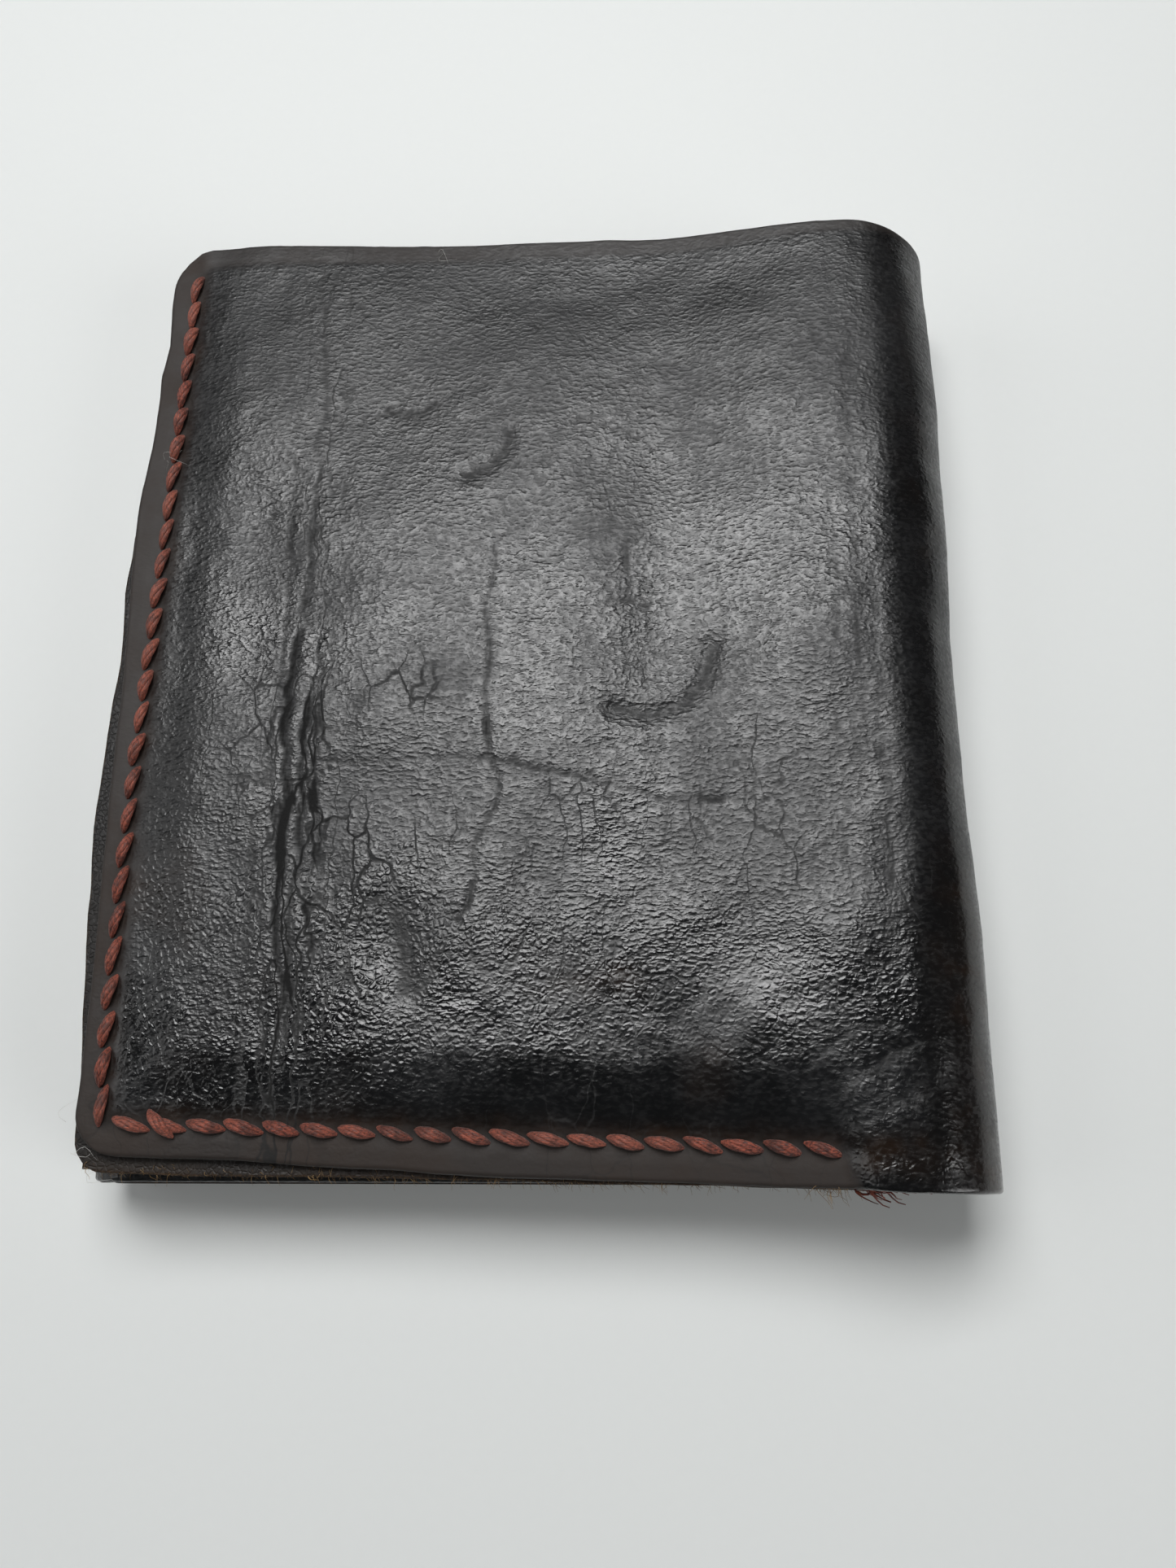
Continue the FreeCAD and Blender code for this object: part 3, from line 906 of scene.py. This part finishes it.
def addSheets():
    spans = {
        "front": (outerFold, 1, ("outer_spine_body", "front_body")),
        "right": (outerFold, -1, ("back_body", "outer_spine_body")),
        "left": (innerFold, -1, ("back_body", "inner_spine_body")),
        "inner": (innerFold, 1, ("inner_spine_body", "inner_body")),
    }
    coverNodes = {"front": ["cover_front_panel"], "right": ["cover_back_panel", "cover_outer_spine"],
                  "left": ["cover_inner_spine"], "inner": ["cover_inner_panel"]}
    wallNodes = {"front": ["bill_wall_front"], "right": ["bill_wall_back", "bill_wall_outer_spine"],
                 "left": ["bill_wall_inner_spine"], "inner": ["bill_wall_inner"]}
    for pieces, nodes, slotName in ((coverSheets(), coverNodes, "cover_leather"),
                                    (wallSheets(), wallNodes, "lining_leather")):
        for place, piece in zip(spans, pieces):
            bendAround(piece, *spans[place])
            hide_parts(*nodes[place])


addSheets()
print("cover and bill wall")


# back_pocket_1 becomes backPocket1
def pieceName(node):
    first, *rest = node.split("_")
    return first + "".join(word.capitalize() for word in rest)


# card pockets
pocketLook = {
    "step": 1.3,
    "corner": 2.0,
    "dip": 1.6,
    "rounding": 0.16,
    "uneven": 0.03,
    "lineInset": 1.8,
    "lineDepth": 0.10,
    "lineWidth": 0.3,
    "rawReach": 0.3,
    "rubbedTop": 2.2,
    "rubbedSide": 2.5,
}


def pocketPanel(node, body, faceUp, seed):
    low, high = corners(node)
    look = pocketLook
    x, y = np.meshgrid(samples(high[0] - low[0], look["step"]),
                       samples(high[1] - low[1], look["step"]), indexing="ij")
    width, height = high[0] - low[0], high[1] - low[1]
    toTop = height - y
    pinch = cornerInset(toTop, look["corner"])
    x = low[0] + pinch + x * (width - 2 * pinch) / width
    middle = (x - low[0]) / width
    dip = look["dip"] * np.sin(math.pi * np.clip(middle * 1.5 - 0.25, 0, 1)) ** 2
    y = low[1] + y * (height - dip) / height
    toSide = np.minimum(x - low[0], high[0] - x)
    toTopEdge = low[1] + height - dip - y
    toEdge = np.minimum(np.minimum(toSide, y - low[1]), toTopEdge)
    drop = cornerInset(toEdge, look["rounding"])
    line = look["lineDepth"] * bell(toTopEdge - look["lineInset"], look["lineWidth"])
    shown = layeredNoise(x, y, 8, seed, 3) * look["uneven"] - line
    top = high[2] - drop + np.where(faceUp, shown, 0)
    under = low[2] + drop - np.where(faceUp, 0, shown)
    raw = 1 - smooth(toEdge / look["rawReach"])
    rubbed = bell(toTopEdge, look["rubbedTop"]) + 0.5 * bell(toSide, look["rubbedSide"])
    rubbed = np.clip(rubbed, 0, 1)
    attributes = {"raw": (raw, raw), "margin": (rubbed, rubbed)}
    piece = shell(pieceName(node), np.stack([x, y, top], -1), np.stack([x, y, under], -1),
                  [liningLeather, liningLeather, rawLeather], attributes)
    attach(piece, body)
    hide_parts(node)


for number in (1, 2, 3):
    pocketPanel("back_pocket_%d" % number, "back_body", True, 100 + number)
for number in (1, 2):
    pocketPanel("front_pocket_%d" % number, "front_body", False, 110 + number)
    pocketPanel("inner_pocket_%d" % number, "inner_body", False, 120 + number)
print("pockets")


# geometry node trees for what repeats: saddle stitches and loose fibres
def newTree(name, numbers):
    tree = bpy.data.node_groups.new(name, "GeometryNodeTree")
    face = tree.interface
    face.new_socket("Places", in_out="INPUT", socket_type="NodeSocketGeometry")
    for each in numbers:
        face.new_socket(each, in_out="INPUT", socket_type="NodeSocketFloat")
    face.new_socket("Seed", in_out="INPUT", socket_type="NodeSocketInt")
    face.new_socket("Material", in_out="INPUT", socket_type="NodeSocketMaterial")
    face.new_socket("Result", in_out="OUTPUT", socket_type="NodeSocketGeometry")
    given = tree.nodes.new("NodeGroupInput")
    graph = Graph(tree)
    return tree, graph, {socket.name: Wire(graph, socket) for socket in given.outputs if socket.name}


def randomNumber(graph, low, high, seed, shift=0):
    inputs = {2: low, 3: high, "Seed": seed + shift if shift else seed}
    return graph.node("FunctionNodeRandomValue", {"data_type": "FLOAT"}, inputs, out=1)


def eitherWay(graph, most, seed, shift=0):
    return randomNumber(graph, most * -1, most, seed, shift)


def xyz(graph, x, y, z):
    return graph.node("ShaderNodeCombineXYZ", {}, {"X": x, "Y": y, "Z": z})


def named(graph, name):
    return graph.node("GeometryNodeInputNamedAttribute", {"data_type": "FLOAT"}, {"Name": name})


def strand(graph, points, position, radius, sides):
    line = graph.node("GeometryNodeCurvePrimitiveLine", {}, {"End": (0.0, 0.0, 1.0)})
    line = graph.node("GeometryNodeResampleCurve", {}, {"Curve": line, "Count": points})
    line = graph.node("GeometryNodeSetPosition", {}, {"Geometry": line, "Position": position})
    ring = graph.node("GeometryNodeCurvePrimitiveCircle", {}, {"Resolution": sides, "Radius": 1.0})
    inputs = {"Curve": line, "Profile Curve": ring, "Scale": radius, "Fill Caps": True}
    return graph.node("GeometryNodeCurveToMesh", {}, inputs)


def finishTree(graph, given, instance, size, turn):
    turned = graph.node("FunctionNodeEulerToRotation", {}, {"Euler": turn})
    inputs = {"Points": given["Places"], "Instance": instance, "Scale": size, "Rotation": turned}
    solid = graph.node("GeometryNodeInstanceOnPoints", {}, inputs)
    solid = graph.node("GeometryNodeRealizeInstances", {}, {"Geometry": solid})
    solid = graph.node("GeometryNodeSetShadeSmooth", {}, {"Geometry": solid})
    inputs = {"Geometry": solid, "Material": given["Material"]}
    solid = graph.node("GeometryNodeSetMaterial", {}, inputs)
    graph.node("NodeGroupOutput", {}, {"Result": solid})


# shares of a stitch's width, except the first: the higher it is, the squarer the stitch's ends
plyShape = {
    "squareness": 2.3,
    "reach": 0.27,
    "thickness": 0.62,
}


# one stitch: plies laid round each other, plump in the middle, its ends drawn down into the holes
def makeStitchTree(name, plies, points, sides):
    numbers = ["Length", "Width", "Rise", "Slant", "Twist", "Wander"]
    tree, g, given = newTree(name, numbers)
    along = g.node("GeometryNodeSplineParameter")
    centred = along * 2 - 1
    body = 1 - centred.absolute() ** plyShape["squareness"]
    parts = []
    for ply in range(plies):
        phase = along * (given["Twist"] * 2 * math.pi) + 2 * math.pi * ply / plies
        reach = given["Width"] * plyShape["reach"]
        x = centred * given["Length"] * 0.5
        y = phase.cosine() * reach * (body * 0.85 + 0.15)
        z = given["Rise"] * (body * 1.25 - 0.45) + phase.sine() * reach * (body * 0.6 + 0.15)
        radius = given["Width"] * plyShape["thickness"] / (plies ** 0.5 + 0.4) * (body * 0.68 + 0.32)
        parts.append(strand(g, points, xyz(g, x, y, z), radius, sides))
    whole = g.node("GeometryNodeJoinGeometry", {}, {"Geometry": parts})
    angle = named(g, "angle") + given["Slant"] + eitherWay(g, given["Wander"], given["Seed"])
    fat = randomNumber(g, 0.90, 1.12, given["Seed"], 3)
    long = randomNumber(g, 0.94, 1.06, given["Seed"], 5)
    finishTree(g, given, whole, xyz(g, long, fat, fat), xyz(g, named(g, "flip"), 0.0, angle))
    return tree


# one fibre: a thin curved hair that leaves the leather along its point's own direction
def makeFibreTree():
    tree, g, given = newTree("fibre", ["Length", "Thickness", "Curl", "Spread"])
    along = g.node("GeometryNodeSplineParameter")
    x = along * along * given["Length"] * given["Curl"]
    y = (along * 5.0).sine() * given["Length"] * given["Curl"] * 0.4
    radius = given["Thickness"] * (1 - along * 0.7)
    hair = strand(g, 7, xyz(g, x, y, along * given["Length"]), radius, 3)
    lean = named(g, "lean") + eitherWay(g, given["Spread"], given["Seed"])
    roll = eitherWay(g, given["Spread"], given["Seed"], 9)
    heading = named(g, "heading") + eitherWay(g, given["Spread"], given["Seed"], 4)
    size = randomNumber(g, 0.35, 1.25, given["Seed"], 7)
    finishTree(g, given, hair, xyz(g, size, size, size), xyz(g, lean, roll, heading))
    return tree


def grow(name, places, attributes, tree, values):
    piece = newObject(name, places, [], [], attributes)
    modifier = piece.modifiers.new("grow", "NODES")
    modifier.node_group = tree
    for item in tree.interface.items_tree:
        if item.in_out == "INPUT" and item.name in values:
            modifier[item.identifier] = values[item.name]
    ready = piece.evaluated_get(bpy.context.evaluated_depsgraph_get())
    mesh = bpy.data.meshes.new_from_object(ready)
    piece.modifiers.remove(modifier)
    piece.data = mesh
    return piece


stitchLook = {
    "Length": 4.0 * mm,
    "Width": 1.22 * mm,
    "Rise": 0.62 * mm,
    "Twist": 0.42,
    "Wander": 0.08,
}
hiddenStitchLook = {**stitchLook, "Width": 0.95 * mm, "Rise": 0.32 * mm, "Length": 3.8 * mm,
                    "Slant": 0.16}
stitchPitch = 3.85
stitchSeat = {
    "front": 0.12,      # above the cover's worn face
    "hidden": 0.05,     # into the layer that the thread lies on
    "inner": 0.22,      # into the inner cover, which has no room to stand proud
    "under": 0.86,      # above the table, so that the thread's lowest point rests on it
}
fineStitch = makeStitchTree("fineStitch", 5, 15, 6)
plainStitch = makeStitchTree("plainStitch", 2, 8, 5)


def frontHeight(u, y):
    u, y = np.asarray(u, float), np.asarray(y, float)
    return wallet["stack"] + frontRelief(u, y)[0] + liftAt(u, y)


def frontStitches(name, node, holes, slant, thread, seed, extra=()):
    middles = (holes[:-1] + holes[1:]) / 2
    steps = np.diff(holes, axis=0)
    angles = list(np.arctan2(steps[:, 1], steps[:, 0]))
    places = [(x, y, float(frontHeight(x, y)) + stitchSeat["front"]) for x, y in middles]
    for x, y, angle, up in extra:
        places.append((x, y, float(frontHeight(x, y)) + up))
        angles.append(angle)
    marks = {"angle": angles, "flip": np.zeros(len(angles))}
    piece = grow(name, places, marks, fineStitch,
                 {**stitchLook, "Slant": slant, "Seed": seed, "Material": thread})
    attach(piece, "front_body")
    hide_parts(node)


# the second stitch of the bottom row was sewn twice, so a second one crosses it
frontStitches("frontSideStitches", "front_side_stitches", frontSideHoles, -0.26, threadUp, 5)
frontStitches("frontBottomStitches", "front_bottom_stitches", frontBottomHoles, -0.24,
              threadAcross, 8, [(-36.4, -50.1, -0.52, 0.5)])


# rows of the other panels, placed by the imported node's own box
def hiddenRow(node, body, faces, seed):
    low, high = corners(node)
    lengthwise = 1 if high[1] - low[1] > high[0] - low[0] else 0
    span = high[lengthwise] - low[lengthwise]
    count = max(1, int(round(span / stitchPitch)))
    cross = (low[1 - lengthwise] + high[1 - lengthwise]) / 2
    places, flips = [], []
    for i in range(count):
        at = low[lengthwise] + (i + 0.5) * span / count
        spot = (cross, at) if lengthwise else (at, cross)
        for height, flip in faces(spot):
            places.append((*spot, height))
            flips.append(flip)
    angles = np.full(len(places), math.pi / 2 if lengthwise else 0.0)
    thread = threadUp if lengthwise else threadAcross
    piece = grow(pieceName(node), places, {"angle": angles, "flip": flips}, plainStitch,
                 {**hiddenStitchLook, "Seed": seed, "Material": thread})
    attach(piece, body)
    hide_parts(node)


def faceOf(node, high):
    low, top = corners(node)
    return top[2] if high else low[2]


# the height of a flap's underside: that of the last pocket that reaches the spot, or the wall's
def underFace(spot, pockets, wall):
    clear = 1.5
    for pocket in reversed(pockets):
        low, high = corners(pocket)
        if spot[1] < high[1] - clear:
            return low[2]
    return faceOf(wall, False)


def flapFaces(pockets, wall, upper=None):
    def faces(spot):
        made = [(underFace(spot, pockets, wall) + stitchSeat["hidden"], math.pi)]
        if upper is not None:
            made.append((upper - stitchSeat["inner"], 0.0))
        return made
    return faces


frontPockets = ["front_pocket_1", "front_pocket_2"]
innerPockets = ["inner_pocket_1", "inner_pocket_2"]
innerTop = faceOf("cover_inner_panel", True)
backRow = (faceOf("back_pocket_3", True) - stitchSeat["hidden"], 0.0)
innerBoth = flapFaces(innerPockets, "bill_wall_inner", innerTop)
hiddenRow("inner_side_stitches", "inner_body", innerBoth, 21)
hiddenRow("inner_bottom_stitches", "inner_body", innerBoth, 22)
hiddenRow("inner_pocket_stitches", "inner_body", flapFaces(innerPockets, "bill_wall_inner"), 23)
hiddenRow("front_pocket_stitches", "front_body", flapFaces(frontPockets, "bill_wall_front"), 24)
hiddenRow("back_bottom_stitches", "back_body",
          lambda spot: [backRow, (stitchSeat["under"], math.pi)], 25)
hiddenRow("back_pocket_left_stitches", "back_body", lambda spot: [backRow], 26)
hiddenRow("back_pocket_right_stitches", "back_body", lambda spot: [backRow], 27)


# the underside of the front panel's own rows shows when the wallet is open
def frontUnderside():
    middles = np.concatenate([(h[:-1] + h[1:]) / 2 for h in (frontSideHoles, frontBottomHoles)])
    places = [(x, y, underFace((x, y), frontPockets, "bill_wall_front") + stitchSeat["hidden"])
              for x, y in middles]
    sides = len(frontSideHoles) - 1
    angles = [math.pi / 2 if i < sides else 0.0 for i in range(len(places))]
    marks = {"angle": angles, "flip": np.full(len(places), math.pi)}
    piece = grow("frontUndersideStitches", places, marks, plainStitch,
                 {**hiddenStitchLook, "Seed": 28, "Material": threadUp})
    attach(piece, "front_body")


frontUnderside()
print("stitches")


# raw fibres: the bottom edge's fuzz, the tuft where the bottom row ends, and loose red plies
fibreTree = makeFibreTree()


# a hair leans by a quarter turn about X, so that it points out of the bottom edge
def fibres(name, count, seed, placeAt, look, slotName, node=None):
    rng = np.random.default_rng(seed)
    places = [placeAt(rng) for i in range(count)]
    marks = {"lean": np.full(count, math.pi / 2), "heading": np.full(count, look["heading"])}
    piece = grow(name, places, marks, fibreTree,
                 {"Length": look["length"] * mm, "Thickness": look["thickness"] * mm,
                  "Curl": look["curl"], "Spread": look["spread"], "Seed": seed,
                  "Material": look["material"]})
    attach(piece, "front_body")
    if node:
        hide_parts(node)


def onBottomEdge(rng):
    lastDrop = 29
    x = rng.uniform(-44.5, 30)
    y = wallet["bottom"] + float(wallLowEdge(min(x, lastDrop))) + rng.uniform(0.0, 1.2)
    return x, y, wallHigh[2] - rng.uniform(0.0, 0.8)


# middle and spread across and along, and the lowest and highest place
def cluster(across, along, heights):
    return lambda rng: (rng.normal(*across), rng.normal(*along), rng.uniform(*heights))


inTuft = cluster((30.2, 0.9), (-54.6, 0.6), (12.6, 15.2))
redEnd = cluster((34.5, 1.6), (-55.2, 0.45), (10.6, 12.0))
fibres("bottomEdgeFuzz", 620, 41, onBottomEdge,
       {"length": 0.9, "thickness": 0.028, "curl": 0.5, "spread": 0.9, "heading": 0.0,
        "material": tanFibre}, "lining_leather")
fibres("frayedTuft", 190, 42, inTuft,
       {"length": 1.9, "thickness": 0.035, "curl": 0.7, "spread": 1.2, "heading": 0.1,
        "material": tanFibre}, "lining_leather")
fibres("frayedThreadEnd", 110, 43, redEnd,
       {"length": 2.5, "thickness": 0.15, "curl": 0.6, "spread": 0.7, "heading": 1.05,
        "material": redFibre}, "waxed_thread", "frayed_thread_end")


# stray lint caught at the corner and along the top edge
def onEdges(rng):
    spots = [(-45.6, -53.2, 14.4), (-44.6, -54.6, 12.6), (-45.9, -50.0, 14.6), (-12.0, 54.6, 15.2),
             (-36.0, -52.6, 15.3), (16.0, 54.4, 15.4), (34.0, -2.0, 17.6), (-43.6, 26.0, 15.2)]
    x, y, z = spots[int(rng.integers(len(spots)))]
    return x + rng.normal(0, 0.5), y + rng.normal(0, 0.3), z


fibres("lint", 16, 44, onEdges,
       {"length": 2.6, "thickness": 0.022, "curl": 0.9, "spread": 1.5, "heading": 0.8,
        "material": lintFibre}, "lining_leather")
print("fibres")
